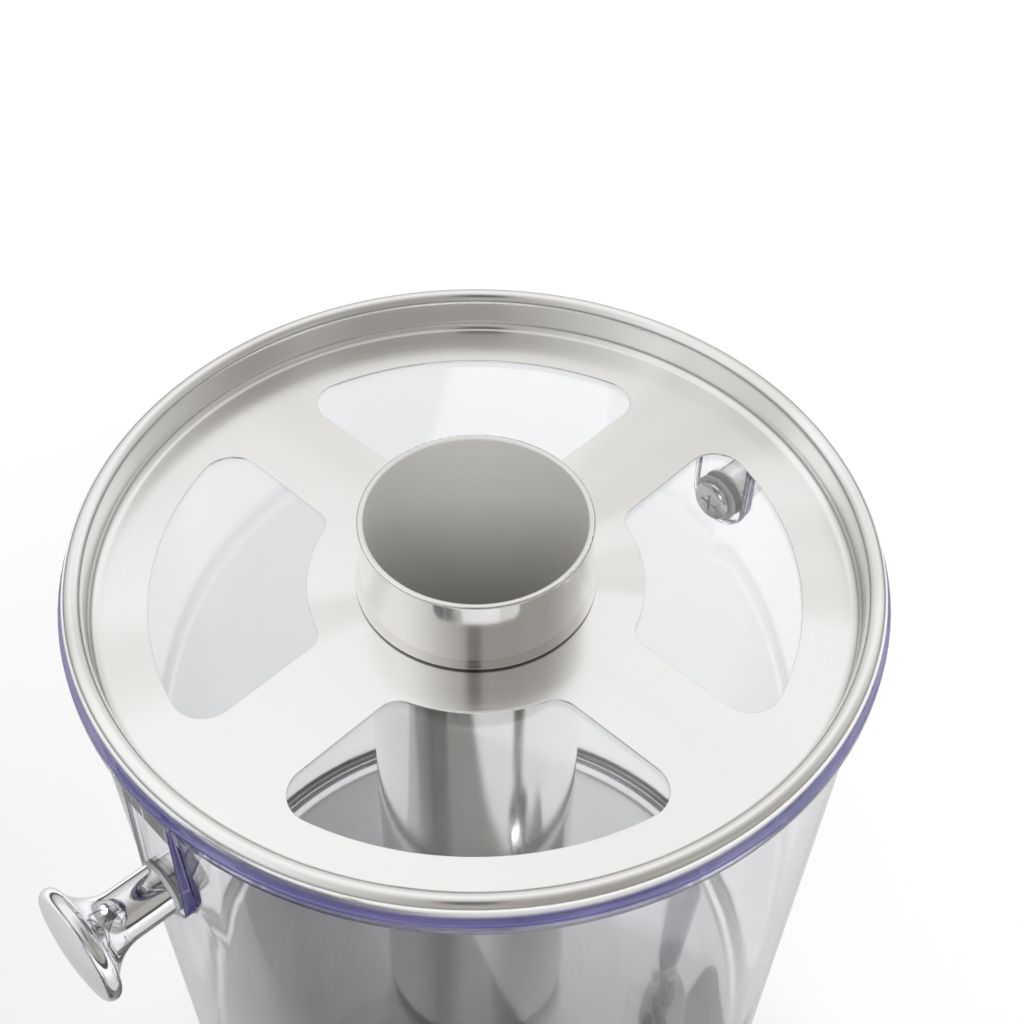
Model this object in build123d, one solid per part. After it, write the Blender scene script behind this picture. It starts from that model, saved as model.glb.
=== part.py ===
from build123d import *
import math
import os

# Double drink dispenser: two clear tanks on steel pedestals over one shared base.
# Millimetres, +Z up. The tanks stand in a row along X and the taps face -Y.
# The origin is on the table, under the middle of the base.

# Lid: a pressed steel pan with a rolled rim, four windows and a hole for the tube
lid_d = 236.0
lid_sheet = 0.8
lid_rim_w = 6.0
lid_rim_h = 6.3
lid_pan_depth = 13.2
lid_pan_corner_r = 3.0
lid_gap = 1.2
lid_turn = 4.0
window_outer_r = 95.2
window_inner_r = 49.6
window_spoke_w = 29.4
window_outer_corner_r = 9.5
window_inner_corner_r = 7.0
pane_t = 1.5
pane_lap = 7.0
pane_edge_gap = 10.6

# Chill tube: closed below, with a collar whose foot rests on the lid
tube_d = 66.0
tube_wall = 1.0
tube_corner_r = 5.0
tube_floor_gap = 2.5
collar_d = 67.8
collar_h = 25.4
collar_foot_d = 70.6
collar_foot_t = 1.2
mouth_edge_r = 0.7
tube_hole_gap = 0.6

# Tank: a clear moulding with a drafted wall, a flange and a skirt under its floor
tank_depth = 230.5
tank_wall = 2.6
tank_draft = 2.58
tank_floor_t = 4.0
tank_floor_corner_r = 8.0
tank_skirt_h = 8.0
tank_skirt_wall = 3.2
flange_overhang = 2.9
flange_t = 4.0
flange_edge_r = 0.6
pad_edge_r = 0.6
hole_gap = 0.3

# Knobs: turned and chromed, each on a wall pad, held by a screw from inside
knob_d = 36.0
knob_length = 30.0
knob_neck_d = 16.0
knob_edge = 5.0
knob_crown = 1.6
knob_drop = 55.8
knob_gap = 43.0
knob_pad_w = 22.0
knob_pad_rise = 30.0
knob_pad_stand = 1.4
knob_pad_lift = 0.7
knob_washer_t = 1.0
knob_washer_d = 17.0
knob_screw_d = 6.0
knob_screw_head_d = 14.0
knob_screw_head_h = 3.0
knob_screw_grip = 12.0
thread_gap = 0.05

# Tap: a shank through the tank's wall, a barrel with a lift valve, and a lever on top
tap_rise = 26.0
tap_pad_d = 40.0
tap_pad_stand = 1.6
tap_washer_t = 2.0
tap_flange_d = 30.0
tap_flange_t = 4.0
tap_shank_d = 16.0
tap_bore_d = 10.0
tap_nut_flats = 24.0
tap_nut_t = 7.0
tap_shank_spare = 2.0
tap_reach = 38.0
tap_neck_d = 19.0
barrel_d = 28.0
barrel_up = 17.0
barrel_down = 18.0
barrel_bore_d = 19.0
valve_drop = 10.0
spout_drop = 46.0
spout_top_d = 20.0
spout_tip_d = 17.0
spout_bore_d = 12.0
bonnet_d = 31.0
bonnet_t = 4.0
bonnet_spigot_h = 8.0
seal_d = 17.2
seal_t = 4.0
stem_d = 4.0
stem_seat = 2.0
stem_head_d = 10.0
stem_head_t = 2.5
plunger_disc_d = 16.0
plunger_disc_t = 1.5
spring_d = 12.0
spring_wire = 1.0
spring_turns = 6
lever_arm = 9.0
pivot_h = 8.0
pin_d = 4.0
hub_d = 8.0
hub_w = 9.8
ear_t = 3.0
ear_w = 9.0
side_gap = 0.3
running_gap = 0.05
prong_t = 2.2
prong_h = 2.4
prong_tip_d = 3.2
lever_bar_w = 8.0
lever_bar_t = 5.0
lever_bar_h = 36.0
grip_start = 18.0
grip_length = 48.0
grip_base_w = 14.0
grip_base_t = 10.0
grip_top_w = 20.0
grip_top_t = 13.0
grip_corner_r = 3.5
grip_crown_r = 4.0

# Pedestal: a spun steel cup, with a plug that the tank's skirt drops over
pedestal_sheet = 1.2
pedestal_edge_r = 1.0
plug_edge_r = 4.0
plug_gap = 0.5
skirt_gap = 0.8
seat_t = 3.0
seat_gap = 0.3
pedestal_flange_w = 20.0
pedestal_screw_count = 4

# Drip tray and its grille, let into the base in front of each pedestal
tray_length = 160.0
tray_width = 88.0
tray_rim_w = 8.0
tray_depth = 18.0
tray_ledge_w = 5.0
tray_sheet = 0.8
tray_corner_r = 20.0
tray_gap = 3.0
tray_hole_gap = 1.0
grille_t = 2.0
grille_gap = 0.6
grille_border = 8.0
slot_w = 4.0
slot_pitch = 8.6

# Base: folded sheet, with a rail inside each long wall for the rubber feet
glass_room = 142.0
base_height = 30.0
base_sheet = 1.5
base_corner_r = 28.0
base_edge_r = 3.0
side_margin = 10.5
rear_margin = 4.5
front_margin = 19.3
foot_d = 30.0
foot_tip_d = 26.0
foot_h = 12.0
foot_margin = 1.0
rail_h = 14.0
foot_recess_h = 6.0
foot_edge_r = 1.0
screw_d = 5.0
screw_head_d = 9.6
screw_head_h = 3.0
nut_flats = 8.0
nut_t = 4.0
screw_spare = 1.5

# Heights worked out from the table up
base_top = foot_h + base_height
tray_top = base_top + tray_sheet
spout_tip_z = tray_top + glass_room
tap_z = spout_tip_z + spout_drop
floor_top = tap_z - tap_rise
floor_bottom = floor_top - tank_floor_t
skirt_bottom = floor_bottom - tank_skirt_h
shoulder_z = skirt_bottom - seat_t
plug_top = floor_bottom - plug_gap
flange_top = floor_top + tank_depth
flange_bottom = flange_top - flange_t
rim_top = flange_top + lid_rim_h
disc_top = rim_top - lid_pan_depth
disc_bottom = disc_top - lid_sheet
tube_mouth = disc_top + collar_h
knob_z = rim_top - knob_drop

# Radii and distances from a tank's axis
lid_r = lid_d / 2
pan_inner_r = lid_r - lid_rim_w
pan_outer_r = pan_inner_r + lid_sheet
mouth_r = pan_outer_r + lid_gap
flange_r = mouth_r + tank_wall + flange_overhang
draft_slope = math.tan(math.radians(tank_draft))


def wall_outer(height):
    """Radius of the tank's drafted outer wall at a height."""
    return mouth_r + tank_wall - (flange_top - height) * draft_slope


def wall_inner(height):
    """Radius of the tank's drafted inner wall at a height."""
    return wall_outer(height) - tank_wall


def chord_reach(radius, half_width):
    """Distance from the axis to a chord that is two half widths long."""
    return math.sqrt(radius ** 2 - half_width ** 2)


pedestal_r = wall_outer(skirt_bottom)
skirt_inner_r = pedestal_r - tank_skirt_wall
plug_r = skirt_inner_r - skirt_gap
knob_pad_r = knob_pad_w / 2
knob_pad_out = wall_outer(flange_bottom) + knob_pad_lift
knob_pad_in = chord_reach(wall_inner(knob_z - knob_pad_r), knob_pad_r) - knob_pad_stand
knob_pad_edge = chord_reach(wall_outer(knob_z + knob_pad_rise), knob_pad_r)
knob_pad_split = (knob_pad_edge + wall_inner(flange_bottom)) / 2
knob_seat = knob_pad_out + knob_washer_t
knob_tip = knob_seat + knob_length
tap_pad_r = tap_pad_d / 2
tap_pad_out = wall_outer(tap_z + tap_pad_r) + tap_pad_stand
tap_pad_in = chord_reach(wall_inner(tap_z - tap_pad_r), tap_pad_r) - tap_pad_stand
tap_flange_in = tap_pad_out + tap_washer_t
tap_flange_out = tap_flange_in + tap_flange_t
tap_nut_out = tap_pad_in - tap_washer_t
tap_shank_end = tap_nut_out - tap_nut_t - tap_shank_spare
spout_reach = tap_pad_out + tap_reach
pivot_reach = spout_reach + lever_arm
tray_reach = pedestal_r + tray_gap + tray_width / 2

# The row: pitch of the tanks and size of the base
unit_pitch = 2 * knob_tip + knob_gap
base_length = unit_pitch + 2 * (flange_r + side_margin)
base_depth = rear_margin + flange_r + pedestal_r + tray_gap + tray_width + front_margin
axis_y = base_depth / 2 - rear_margin - flange_r
units = {"left": -unit_pitch / 2, "right": unit_pitch / 2}

STAND = (Align.CENTER, Align.CENTER, Align.MIN)
half_turn = Rot(0, 0, 180)


def turned(*corners):
    """Solid of revolution about Z; a corner is (radius, height) or (radius, height, rounding)."""
    face = make_face(Polyline(*[corner[:2] for corner in corners], close=True)).face()
    for radius, height, rounding in [corner for corner in corners if len(corner) == 3]:
        nearest = face.vertices().sort_by_distance((radius, height, 0))[0]
        face = face.fillet_2d(rounding, [nearest])
    return revolve(Plane.XZ * face, Axis.Z)


def rod(diameter, start, end):
    """Round bar from one point to another."""
    way = Vector(*end) - Vector(*start)
    return Plane(origin=start, z_dir=way) * Cylinder(diameter / 2, way.length, align=STAND)


def sleeve(outer_d, inner_d, start, end):
    """Round bar with a bore right through it."""
    return rod(outer_d, start, end) - rod(inner_d, start, end)


def hex_sleeve(flats, inner_d, start, end):
    """Hexagonal nut with a plain bore."""
    way = Vector(*end) - Vector(*start)
    outline = Plane(origin=start, z_dir=way) * RegularPolygon(flats / 2, 6, major_radius=False)
    return extrude(outline, way.length) - rod(inner_d, start, end)


def slab(length, width, corner_r, low, high):
    """Upright block with rounded corners, centred on the Z axis."""
    return extrude(Pos(0, 0, low) * RectangleRounded(length, width, corner_r), high - low)


def ahead(distance, height, side=0.0):
    """Point in front of a tank's axis."""
    return (side, -distance, height)


def beside(distance, height):
    """Point on the knob's side of a tank's axis."""
    return (distance, 0, height)


def save(name, *pieces):
    """Write one node, as a single solid or as a group of separate ones."""
    solids = [solid for piece in pieces for solid in piece.solids()]
    export_step(solids[0] if len(solids) == 1 else Compound(solids), f"parts/{name}.step")


# Base, rails, feet and their fasteners

rail_w = foot_d + 2 * foot_margin
rail_length = base_length - 2 * base_corner_r
rail_seat = base_depth / 2 - base_sheet
foot_x = rail_length / 2 - rail_w / 2
foot_y = rail_seat - rail_w / 2
foot_places = [(x, y) for x in (-foot_x, 0, foot_x) for y in (-foot_y, foot_y)]
screw_circle_r = pedestal_r - pedestal_sheet - pedestal_flange_w / 2
screw_angles = [(turn + 0.5) * 360 / pedestal_screw_count for turn in range(pedestal_screw_count)]
screw_places = [
    (screw_circle_r * math.cos(math.radians(angle)), screw_circle_r * math.sin(math.radians(angle)))
    for angle in screw_angles
]
screw_hole_d = screw_d + 2 * hole_gap
nut_bore_d = screw_d + 2 * thread_gap
pan_length = tray_length - 2 * tray_rim_w
pan_width = tray_width - 2 * tray_rim_w
pan_corner_r = tray_corner_r - tray_rim_w


def base_plinth():
    """Folded sheet base, open below, with holes for the trays and the pedestals' screws."""
    body = slab(base_length, base_depth, base_corner_r, foot_h, base_top)
    body = fillet(body.edges().group_by(Axis.Z)[-1], base_edge_r)
    room_length = base_length - 2 * base_sheet
    room_depth = base_depth - 2 * base_sheet
    room = slab(room_length, room_depth, base_corner_r - base_sheet, foot_h, base_top - base_sheet)
    room = fillet(room.edges().group_by(Axis.Z)[-1], base_edge_r - base_sheet)
    body -= room
    tray_hole = slab(
        pan_length + 2 * tray_hole_gap,
        pan_width + 2 * tray_hole_gap,
        pan_corner_r + tray_hole_gap,
        base_top - base_sheet,
        base_top,
    )
    for x in units.values():
        body -= Pos(x, axis_y - tray_reach, 0) * tray_hole
        for px, py in screw_places:
            spot = (x + px, axis_y + py)
            body -= rod(screw_hole_d, (*spot, base_top - base_sheet), (*spot, base_top))
    return body


def base_rail(side):
    """Folded L-shaped rail welded inside a long wall; its flat flange carries the feet."""
    flange_y = side * (rail_seat - rail_w / 2)
    web_y = side * (rail_seat - base_sheet / 2)
    body = Pos(0, flange_y, foot_h) * Box(rail_length, rail_w, base_sheet, align=STAND)
    body += Pos(0, web_y, foot_h) * Box(rail_length, base_sheet, rail_h, align=STAND)
    for x, y in foot_places:
        if y * side > 0:
            body -= rod(screw_hole_d, (x, y, foot_h), (x, y, foot_h + base_sheet))
    return body


def screw_up(spot, seat, end, diameter, head_d, head_h):
    """Screw that points up, its head under the seat."""
    head = rod(head_d, (*spot, seat - head_h), (*spot, seat))
    head = fillet(head.edges().group_by(Axis.Z)[0], head_h / 2)
    return head + rod(diameter, (*spot, seat), (*spot, end))


def foot(spot):
    """Tapered rubber foot with a recess for its screw."""
    body = turned((0, 0), (foot_tip_d / 2, 0, foot_edge_r), (foot_d / 2, foot_h), (0, foot_h))
    recess_d = screw_head_d + 4 * hole_gap
    body -= rod(recess_d, (0, 0, 0), (0, 0, foot_recess_h))
    body -= rod(screw_hole_d, (0, 0, foot_recess_h), (0, 0, foot_h))
    return Pos(*spot, 0) * body


foot_nut_z = foot_h + base_sheet
foot_screw_top = foot_nut_z + nut_t + screw_spare
os.makedirs("parts", exist_ok=True)
save("base_plinth", base_plinth())
save("base_rails", base_rail(-1), base_rail(1))
save("base_feet", *[foot(spot) for spot in foot_places])
save(
    "foot_screws",
    *[
        screw_up(spot, foot_recess_h, foot_screw_top, screw_d, screw_head_d, screw_head_h)
        for spot in foot_places
    ],
)
save(
    "foot_nuts",
    *[
        hex_sleeve(nut_flats, nut_bore_d, (*spot, foot_nut_z), (*spot, foot_nut_z + nut_t))
        for spot in foot_places
    ],
)


# Pedestal and the ring that the tank stands on


def pedestal():
    """Spun cup: cylinder, shoulder and plug, with an inward flange at its foot."""
    sheet = pedestal_sheet
    outside = turned(
        (0, base_top),
        (pedestal_r, base_top),
        (pedestal_r, shoulder_z, pedestal_edge_r),
        (plug_r, shoulder_z),
        (plug_r, plug_top, plug_edge_r),
        (0, plug_top),
    )
    inside = turned(
        (0, base_top),
        (pedestal_r - sheet, base_top),
        (pedestal_r - sheet, shoulder_z - sheet),
        (plug_r - sheet, shoulder_z - sheet),
        (plug_r - sheet, plug_top - sheet, plug_edge_r - sheet),
        (0, plug_top - sheet),
    )
    flange = sleeve(
        2 * (pedestal_r - sheet),
        2 * (pedestal_r - sheet - pedestal_flange_w),
        (0, 0, base_top),
        (0, 0, base_top + sheet),
    )
    body = outside - inside + flange
    for spot in screw_places:
        body -= rod(screw_hole_d, (*spot, base_top), (*spot, base_top + sheet))
    return body


def seat_ring():
    """Silicone ring on the pedestal's shoulder."""
    inner_d = 2 * (plug_r + seat_gap)
    outer_d = 2 * (pedestal_r - seat_gap)
    return sleeve(outer_d, inner_d, (0, 0, shoulder_z), (0, 0, skirt_bottom))


def pedestal_screw(spot):
    """Screw from under the base, through the pedestal's flange."""
    end = base_top + pedestal_sheet + nut_t + screw_spare
    return screw_up(spot, base_top - base_sheet, end, screw_d, screw_head_d, screw_head_h)


def pedestal_nut(spot):
    """Nut on the pedestal's flange."""
    low = base_top + pedestal_sheet
    return hex_sleeve(nut_flats, nut_bore_d, (*spot, low), (*spot, low + nut_t))


# Tank and its knobs


def knob_pad():
    """Flat-faced pad across the wall, round below: outside it rises into the flange, inside it ends lower."""

    def block(rise, near, far):
        """Straight-sided block with a round lower end between two distances from the axis."""
        outline = Circle(knob_pad_r) + Pos(0, rise / 2) * Rectangle(knob_pad_w, rise)
        face = Plane(origin=beside(near, knob_z), x_dir=(0, 1, 0), z_dir=(1, 0, 0)) * outline
        return extrude(face, far - near)

    inside = block(knob_pad_rise, knob_pad_in, knob_pad_split)
    inside = fillet(inside.edges().group_by(Axis.X)[0], pad_edge_r)
    outside = block(flange_top - flange_t / 2 - knob_z, knob_pad_split, knob_pad_out)
    outside = fillet(outside.edges().group_by(Axis.X)[-1], pad_edge_r)
    return inside + outside


def tap_pad():
    """Round flat-faced pad across the wall, in front."""
    pad = rod(tap_pad_d, ahead(tap_pad_in, tap_z), ahead(tap_pad_out, tap_z))
    rims = pad.edges().filter_by(GeomType.CIRCLE)
    return fillet(rims, pad_edge_r)


def tank():
    """Clear vessel with its pads and holes."""
    body = turned(
        (0, floor_bottom),
        (skirt_inner_r, floor_bottom),
        (skirt_inner_r, skirt_bottom),
        (pedestal_r, skirt_bottom, pad_edge_r),
        (wall_outer(flange_bottom), flange_bottom, pad_edge_r),
        (flange_r, flange_bottom, flange_edge_r),
        (flange_r, flange_top, flange_edge_r),
        (mouth_r, flange_top, pad_edge_r),
        (wall_inner(floor_top), floor_top, tank_floor_corner_r),
        (0, floor_top),
    )
    body += knob_pad()
    body += half_turn * knob_pad()
    body += tap_pad()
    knob_hole_d = knob_screw_d + 2 * hole_gap
    knob_hole = rod(knob_hole_d, beside(knob_pad_in, knob_z), beside(knob_pad_out, knob_z))
    body -= knob_hole
    body -= half_turn * knob_hole
    tap_hole_d = tap_shank_d + 2 * hole_gap
    return body - rod(tap_hole_d, ahead(tap_pad_in, tap_z), ahead(tap_pad_out, tap_z))


def knob():
    """Turned knob on the +X side: neck, concave flare and a crowned disc with a full round edge."""
    disc_r = knob_d / 2
    neck_r = knob_neck_d / 2
    edge_r = knob_edge / 2
    edge_ring_r = disc_r - edge_r
    edge_centre = knob_length - knob_crown - edge_r
    flare_foot = (knob_length - knob_edge - knob_crown) / 2
    flare_end = (edge_ring_r, edge_centre - edge_r)
    edge_top = (edge_ring_r, edge_centre + edge_r)
    crown_r = (edge_ring_r ** 2 + knob_crown ** 2) / (2 * knob_crown)
    crown_start = math.degrees(math.acos(edge_ring_r / crown_r))
    outline = [
        Line((0, 0), (neck_r, 0)),
        Line((neck_r, 0), (neck_r, flare_foot)),
        TangentArc((neck_r, flare_foot), flare_end, tangent=(0, 1)),
        ThreePointArc(flare_end, (disc_r, edge_centre), edge_top),
        CenterArc((0, knob_length - crown_r), crown_r, crown_start, 90 - crown_start),
        Line((0, knob_length), (0, 0)),
    ]
    body = revolve(Plane.XZ * make_face(outline), Axis.Z)
    body -= rod(knob_screw_d + 2 * thread_gap, (0, 0, 0), (0, 0, knob_screw_grip + screw_spare))
    return Pos(knob_seat, 0, knob_z) * Rot(0, 90, 0) * body


def knob_washers():
    """Clear washers on both faces of the wall pad."""
    bore_d = knob_screw_d + 2 * hole_gap
    inner = sleeve(
        knob_washer_d,
        bore_d,
        beside(knob_pad_in - knob_washer_t, knob_z),
        beside(knob_pad_in, knob_z),
    )
    outer = sleeve(
        knob_washer_d, bore_d, beside(knob_pad_out, knob_z), beside(knob_seat, knob_z)
    )
    return [inner, outer]


def knob_screw():
    """Cross-slotted screw from inside the tank into the knob."""
    seat = knob_pad_in - knob_washer_t
    head_end = seat - knob_screw_head_h
    head = rod(knob_screw_head_d, beside(head_end, knob_z), beside(seat, knob_z))
    head = fillet(head.edges().group_by(Axis.X)[0], knob_screw_head_h / 2)
    slot_depth = knob_screw_head_h / 2
    slot_width = knob_screw_head_h / 3
    slot_length = knob_screw_head_d / 2
    for length, width in ((slot_length, slot_width), (slot_width, slot_length)):
        head -= Pos(head_end + slot_depth / 2, 0, knob_z) * Box(slot_depth, length, width)
    return head + rod(knob_screw_d, beside(seat, knob_z), beside(knob_seat + knob_screw_grip, knob_z))


# Lid, its pane and the tube that hangs in it


def lid():
    """Pressed pan: disc, wall and rolled rim from one sheet, with four windows and a hole."""
    roll_r = lid_rim_w / 2
    roll_z = rim_top - roll_r
    hole_r = tube_d / 2 + tube_hole_gap

    def strip(inner_r, outer_r, low, high):
        """Rectangle of the section between two radii and two heights."""
        middle = Pos((inner_r + outer_r) / 2, (low + high) / 2)
        return middle * Rectangle(outer_r - inner_r, high - low)

    roll = Circle(roll_r) - Circle(roll_r - lid_sheet)
    roll = roll & (Pos(0, roll_r / 2) * Rectangle(lid_rim_w, roll_r))
    section = strip(hole_r, pan_outer_r, disc_bottom, disc_top)
    section += strip(pan_inner_r, pan_outer_r, disc_bottom, roll_z)
    section += Pos(pan_inner_r + roll_r, roll_z) * roll
    section += strip(lid_r - lid_sheet, lid_r, flange_top, roll_z)
    face = section.face()
    for corner, radius in (
        ((pan_inner_r, disc_top, 0), lid_pan_corner_r),
        ((pan_outer_r, disc_bottom, 0), lid_pan_corner_r + lid_sheet),
    ):
        nearest = face.vertices().sort_by_distance(corner)[0]
        face = face.fillet_2d(radius, [nearest])
    body = revolve(Plane.XZ * face, Axis.Z)
    quarter = Pos(0, 0, disc_bottom) * window_outline()
    cutter = extrude(quarter, lid_sheet)
    for turn in range(4):
        body -= Rot(0, 0, lid_turn + 90 * turn) * cutter
    return body


def window_outline():
    """Window between two spokes of even width, with rounded corners."""
    start = window_spoke_w / 2
    block = Pos(start, start) * Rectangle(window_outer_r, window_outer_r, align=Align.MIN)
    face = ((Circle(window_outer_r) - Circle(window_inner_r)) & block).face()
    middle_r = (window_inner_r + window_outer_r) / 2
    corners = face.vertices()
    outer = [corner.center() for corner in corners if corner.center().length > middle_r]
    inner = [corner.center() for corner in corners if corner.center().length < middle_r]
    for places, radius in ((outer, window_outer_corner_r), (inner, window_inner_corner_r)):
        for place in places:
            nearest = face.vertices().sort_by_distance(place)[0]
            face = face.fillet_2d(radius, [nearest])
    return face


def lid_pane():
    """Clear ring-shaped plate bonded under the lid's windows."""
    outer_d = 2 * (pan_outer_r - pane_edge_gap)
    inner_d = 2 * (window_inner_r - pane_lap)
    return sleeve(outer_d, inner_d, (0, 0, disc_bottom - pane_t), (0, 0, disc_bottom))


def chill_tube():
    """Thin tube with a rounded closed end and a thicker collar with a foot."""
    bottom = floor_top + tube_floor_gap
    outer_r = tube_d / 2
    inner_r = outer_r - tube_wall
    foot_top = disc_top + collar_foot_t
    return turned(
        (0, bottom),
        (outer_r, bottom, tube_corner_r),
        (outer_r, disc_top),
        (collar_foot_d / 2, disc_top),
        (collar_foot_d / 2, foot_top),
        (collar_d / 2, foot_top),
        (collar_d / 2, tube_mouth, mouth_edge_r),
        (inner_r, tube_mouth, mouth_edge_r),
        (inner_r, bottom + tube_wall, tube_corner_r - tube_wall),
        (0, bottom + tube_wall),
    )


# Tap: heights are worked out from the shank's axis

barrel_top = tap_z + barrel_up
valve_z = tap_z - valve_drop
bonnet_top = barrel_top + bonnet_t
spigot_bottom = barrel_top - bonnet_spigot_h
pivot_z = bonnet_top + pivot_h
seal_top = valve_z + seal_t
disc_z = seal_top + plunger_disc_t
head_z = pivot_z + prong_tip_d / 2 + side_gap
ear_in = hub_w / 2 + side_gap
ear_out = ear_in + ear_t


def tap_washers():
    """Silicone washers on both faces of the tap's wall pad."""
    bore_d = tap_shank_d + 2 * hole_gap
    faces = ((tap_pad_in - tap_washer_t, tap_pad_in), (tap_pad_out, tap_flange_in))
    return [sleeve(tap_flange_d, bore_d, ahead(near, tap_z), ahead(far, tap_z)) for near, far in faces]


def tap_nut():
    """Hexagonal nut on the shank, inside the tank."""
    bore_d = tap_shank_d + 2 * thread_gap
    low = ahead(tap_nut_out - tap_nut_t, tap_z)
    return hex_sleeve(tap_nut_flats, bore_d, low, ahead(tap_nut_out, tap_z))


def tap_body():
    """Shank, flange, neck, barrel and spout in one casting, bored through."""
    barrel_bottom = tap_z - barrel_down
    flange = rod(tap_flange_d, ahead(tap_flange_in, tap_z), ahead(tap_flange_out, tap_z))
    flange = fillet(flange.edges().group_by(Axis.Y)[0], pad_edge_r)
    barrel = turned(
        (0, spout_tip_z),
        (spout_tip_d / 2, spout_tip_z, pad_edge_r),
        (spout_top_d / 2, barrel_bottom, pad_edge_r),
        (barrel_d / 2, barrel_bottom, 2 * pad_edge_r),
        (barrel_d / 2, barrel_top),
        (0, barrel_top),
    )
    body = rod(tap_shank_d, ahead(tap_shank_end, tap_z), ahead(tap_flange_in, tap_z))
    body += flange
    body += rod(tap_neck_d, ahead(tap_flange_out, tap_z), ahead(spout_reach, tap_z))
    body += Pos(*ahead(spout_reach, 0)) * barrel
    body -= rod(barrel_bore_d, ahead(spout_reach, valve_z), ahead(spout_reach, barrel_top))
    body -= rod(spout_bore_d, ahead(spout_reach, spout_tip_z), ahead(spout_reach, valve_z))
    return body - rod(tap_bore_d, ahead(tap_shank_end, tap_z), ahead(spout_reach, tap_z))


def tap_bonnet():
    """Screwed cap that guides the stem, with two ears for the lever's pin."""
    spigot_d = barrel_bore_d - 2 * thread_gap
    plate = rod(bonnet_d, ahead(spout_reach, barrel_top), ahead(spout_reach, bonnet_top))
    plate = fillet(plate.edges().group_by(Axis.Z)[-1], pad_edge_r)
    body = plate + rod(spigot_d, ahead(spout_reach, spigot_bottom), ahead(spout_reach, barrel_top))
    ear_height = pivot_z - bonnet_top
    for side in (-1, 1):
        near = ahead(pivot_reach, pivot_z, side * ear_in)
        far = ahead(pivot_reach, pivot_z, side * ear_out)
        middle = ahead(pivot_reach, bonnet_top + ear_height / 2, side * (ear_in + ear_out) / 2)
        body += Pos(*middle) * Box(ear_t, ear_w, ear_height)
        body += rod(ear_w, near, far)
    stem_hole_d = stem_d + 2 * running_gap
    body -= rod(stem_hole_d, ahead(spout_reach, spigot_bottom), ahead(spout_reach, bonnet_top))
    pin_hole_d = pin_d + 2 * running_gap
    return body - rod(pin_hole_d, ahead(pivot_reach, pivot_z, -ear_out), ahead(pivot_reach, pivot_z, ear_out))


def tap_pin():
    """Pin through the ears and the lever's hub."""
    end = ear_out + side_gap
    pin = rod(pin_d, ahead(pivot_reach, pivot_z, -end), ahead(pivot_reach, pivot_z, end))
    return chamfer(pin.edges().filter_by(GeomType.CIRCLE), side_gap)


def tap_lever():
    """Hub with an upright bar and two prongs whose round tips lift the stem's head."""
    half_hub = hub_w / 2
    body = rod(hub_d, ahead(pivot_reach, pivot_z, -half_hub), ahead(pivot_reach, pivot_z, half_hub))
    body += Pos(*ahead(pivot_reach, pivot_z + lever_bar_h / 2)) * Box(lever_bar_w, lever_bar_t, lever_bar_h)
    prong_middle = half_hub - prong_t / 2
    for side in (-1, 1):
        middle = ahead((spout_reach + pivot_reach) / 2, pivot_z, side * prong_middle)
        body += Pos(*middle) * Box(prong_t, lever_arm, prong_h)
        near = ahead(spout_reach, pivot_z, side * half_hub)
        far = ahead(spout_reach, pivot_z, side * (half_hub - prong_t))
        body += rod(prong_tip_d, near, far)
    bore_d = pin_d + 2 * running_gap
    return body - rod(bore_d, ahead(pivot_reach, pivot_z, -half_hub), ahead(pivot_reach, pivot_z, half_hub))


def tap_grip():
    """Moulded handle pushed over the lever's bar, wider and thicker towards its top."""
    low = pivot_z + grip_start
    high = low + grip_length
    foot_outline = Pos(*ahead(pivot_reach, low)) * RectangleRounded(grip_base_w, grip_base_t, grip_corner_r)
    top_outline = Pos(*ahead(pivot_reach, high)) * RectangleRounded(grip_top_w, grip_top_t, grip_corner_r)
    body = loft([foot_outline.face(), top_outline.face()])
    body = fillet(body.edges().group_by(Axis.Z)[-1], grip_crown_r)
    socket_h = lever_bar_h - grip_start + side_gap
    socket = Box(lever_bar_w + 2 * thread_gap, lever_bar_t + 2 * thread_gap, socket_h, align=STAND)
    return body - Pos(*ahead(pivot_reach, low)) * socket


def tap_plunger():
    """Stem with a head for the lever and a disc that presses the seal."""
    base = seal_top - stem_seat
    body = rod(stem_d, ahead(spout_reach, base), ahead(spout_reach, head_z))
    body += rod(plunger_disc_d, ahead(spout_reach, seal_top), ahead(spout_reach, disc_z))
    return body + rod(stem_head_d, ahead(spout_reach, head_z), ahead(spout_reach, head_z + stem_head_t))


def tap_seal():
    """Silicone plug on the end of the stem, standing on the valve seat."""
    body = rod(seal_d, ahead(spout_reach, valve_z), ahead(spout_reach, seal_top))
    hole_d = stem_d + 2 * thread_gap
    return body - rod(hole_d, ahead(spout_reach, seal_top - stem_seat), ahead(spout_reach, seal_top))


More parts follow.
